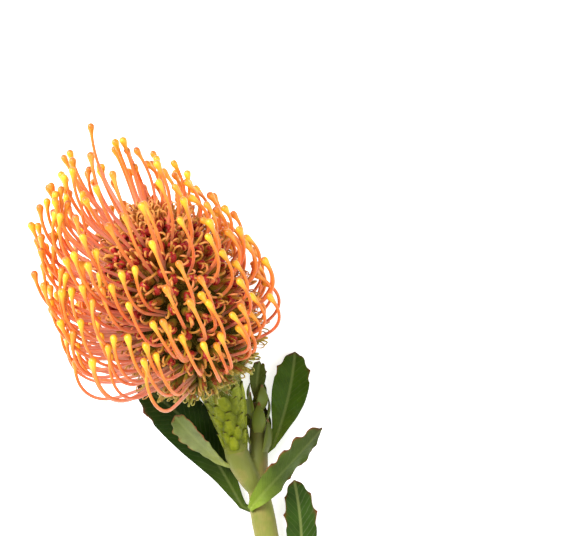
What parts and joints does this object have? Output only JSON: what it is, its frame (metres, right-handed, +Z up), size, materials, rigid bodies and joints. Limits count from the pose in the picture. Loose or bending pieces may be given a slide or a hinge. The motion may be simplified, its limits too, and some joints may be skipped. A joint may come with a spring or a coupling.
{
  "type": "pincushion protea flower",
  "caption": "Cut pincushion protea lying down: a domed head of curved orange pins with yellow tips over curled florets, on a scaly stalk and a leafy stem.",
  "frame": {"origin": "middle of the part's footprint, on the surface that it lies on", "axes": "+Z up from the surface, +Y along the stem towards the flower head, +X to the right seen from above"},
  "size_m": [0.1433, 0.2601, 0.0916],
  "materials": {
    "head": "waxy orange pins with yellow tips, over olive and dark red curled florets with fine hairs",
    "stalk": "yellow-green skin with small pointed bracts and fine down",
    "stem": "smooth pale green bark, a little woody at the cut end",
    "leaf": "leathery matt grey-green with thin red-brown edges and tooth tips"
  },
  "bodies": {
    "root": {"flower_head": "head", "stalk": "stalk", "stem": "stem", "leaf_broad_left": "leaf", "leaf_small_left": "leaf", "leaf_front": "leaf", "leaf_right": "leaf", "leaf_shoot": "leaf", "leaf_low_right": "leaf", "leaf_low_left": "leaf", "leaf_lowest_right": "leaf"}
  },
  "joints": []
}
